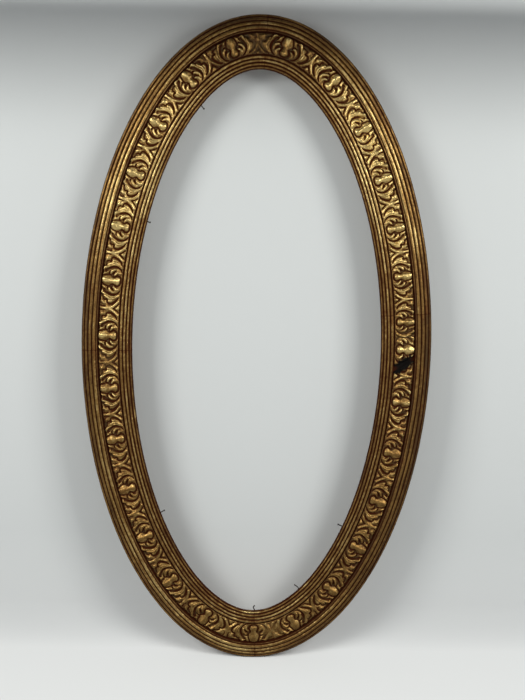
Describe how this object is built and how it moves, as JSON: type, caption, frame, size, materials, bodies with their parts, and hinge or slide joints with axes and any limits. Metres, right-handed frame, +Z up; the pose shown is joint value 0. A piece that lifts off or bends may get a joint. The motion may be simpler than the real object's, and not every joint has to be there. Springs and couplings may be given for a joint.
{
  "type": "oval picture frame",
  "caption": "Antique gilt oval frame: reeded moulding round a band of moulded acanthus ornament, with an open rabbet for glass and picture, and screw eyes behind.",
  "frame": {"origin": "middle of the frame's box: on the oval's two axes, half-way through its depth with the screw eyes", "axes": "+Z up along the long axis, +X across, the face looks along -Y"},
  "size_m": [0.356, 0.0324, 0.66],
  "materials": {
    "gilded_moulding": "aged gold leaf over red bole on wood",
    "gilded_composition": "aged gold leaf on pressed composition",
    "old_pine": "bare aged softwood",
    "dark_iron": "dark rusted iron",
    "old_brass": "dull aged brass"
  },
  "bodies": {
    "root": {"face_rail_upper_right": "gilded_moulding", "face_rail_upper_left": "gilded_moulding", "face_rail_lower_left": "gilded_moulding", "face_rail_lower_right": "gilded_moulding", "back_rail_top": "old_pine", "back_rail_left": "old_pine", "back_rail_bottom": "old_pine", "back_rail_right": "old_pine", "ornament_strip_upper_right": "gilded_composition", "ornament_strip_upper_left": "gilded_composition", "ornament_strip_lower_left": "gilded_composition", "ornament_strip_lower_right": "gilded_composition", "ornament_strip_broken_end": "gilded_composition", "glazing_brads": "dark_iron", "screw_eye_left": "old_brass", "screw_eye_right": "old_brass"}
  },
  "joints": []
}
